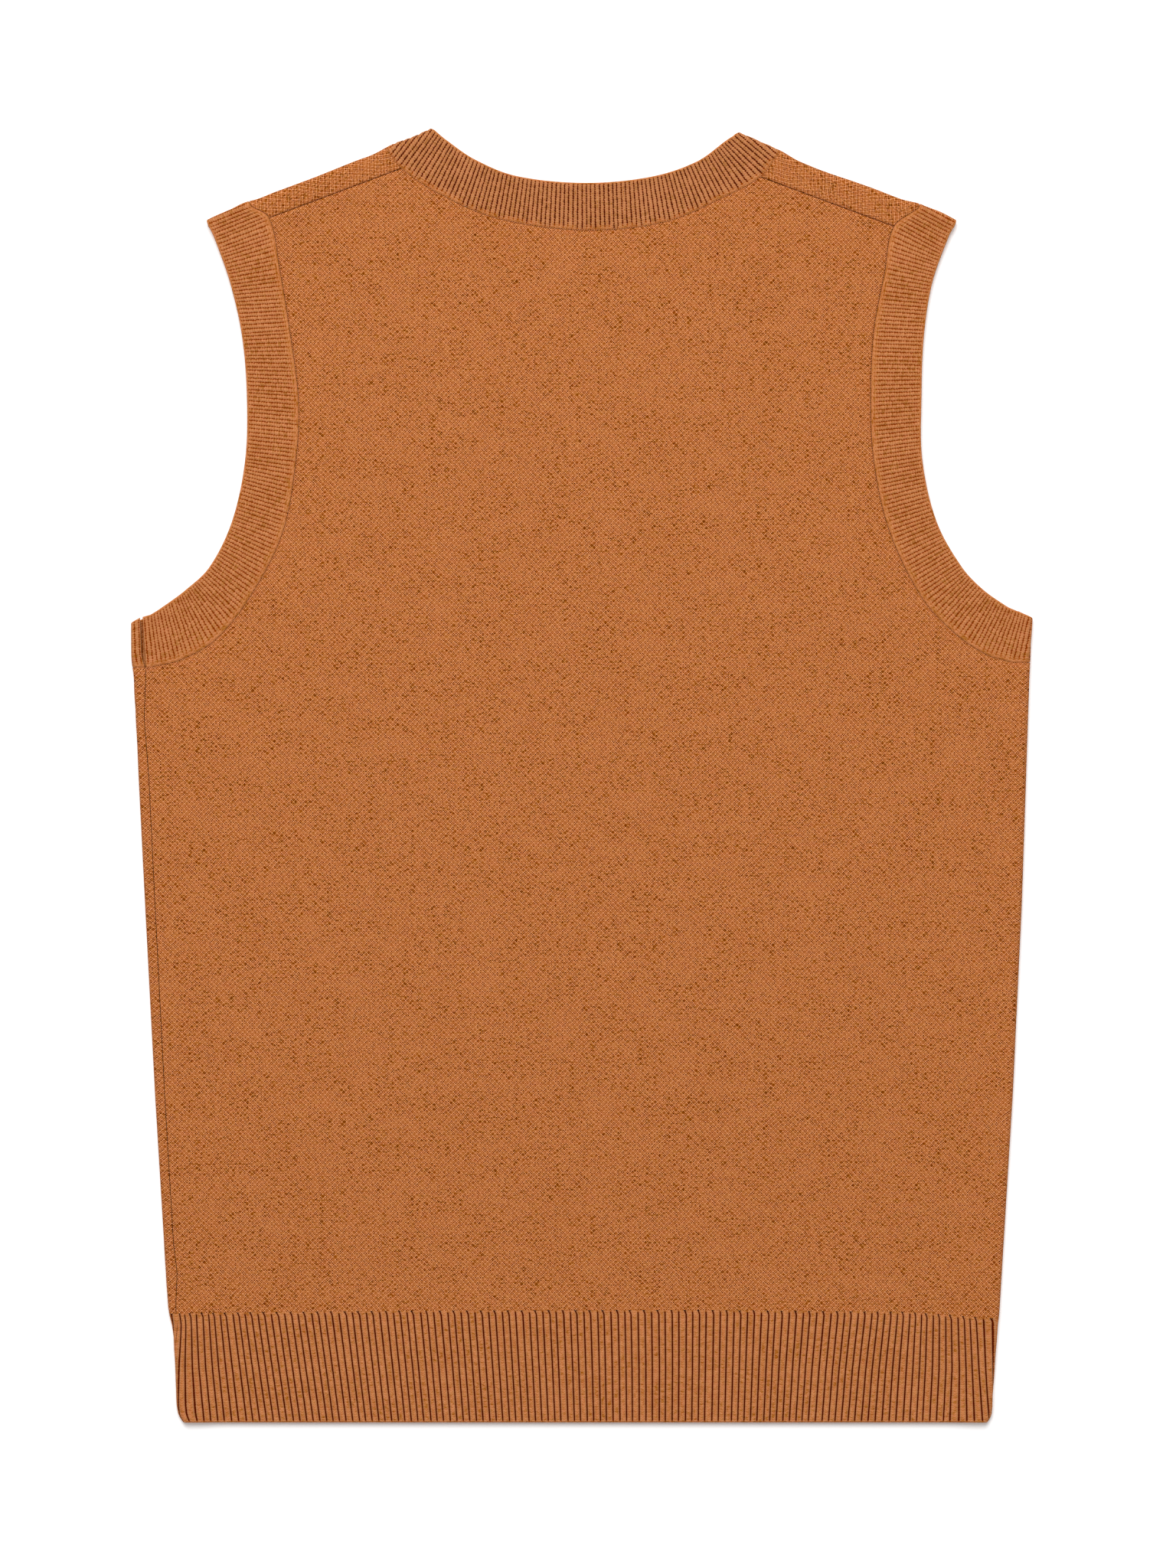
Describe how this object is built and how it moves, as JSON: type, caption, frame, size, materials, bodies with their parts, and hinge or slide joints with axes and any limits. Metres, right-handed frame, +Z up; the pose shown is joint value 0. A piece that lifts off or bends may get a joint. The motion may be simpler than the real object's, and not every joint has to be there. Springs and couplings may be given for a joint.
{
  "type": "knitted sleeveless sweater vest, laid flat",
  "caption": "Sleeveless fine-knit sweater vest laid face down, with V front, ribbed neckband, ribbed armbands and a ribbed hem.",
  "frame": {"origin": "middle of the laid garment's outline, on the surface that it lies on", "axes": "+Z up, out of the garment's back; +Y from the hem to the neck; +X to the viewer's right when the back is seen with the neck at the top"},
  "size_m": [0.5012, 0.7191, 0.0064],
  "materials": {
    "knit": "matt marled wool jersey",
    "hem_rib": "matt wool rib, wide ribs with deep narrow grooves",
    "band_rib": "matt doubled one-by-one wool rib"
  },
  "bodies": {
    "root": {"back": "knit", "front": "knit", "hem_back": "hem_rib", "hem_front": "hem_rib", "neckband": "band_rib", "armband_left": "band_rib", "armband_right": "band_rib"}
  },
  "joints": []
}
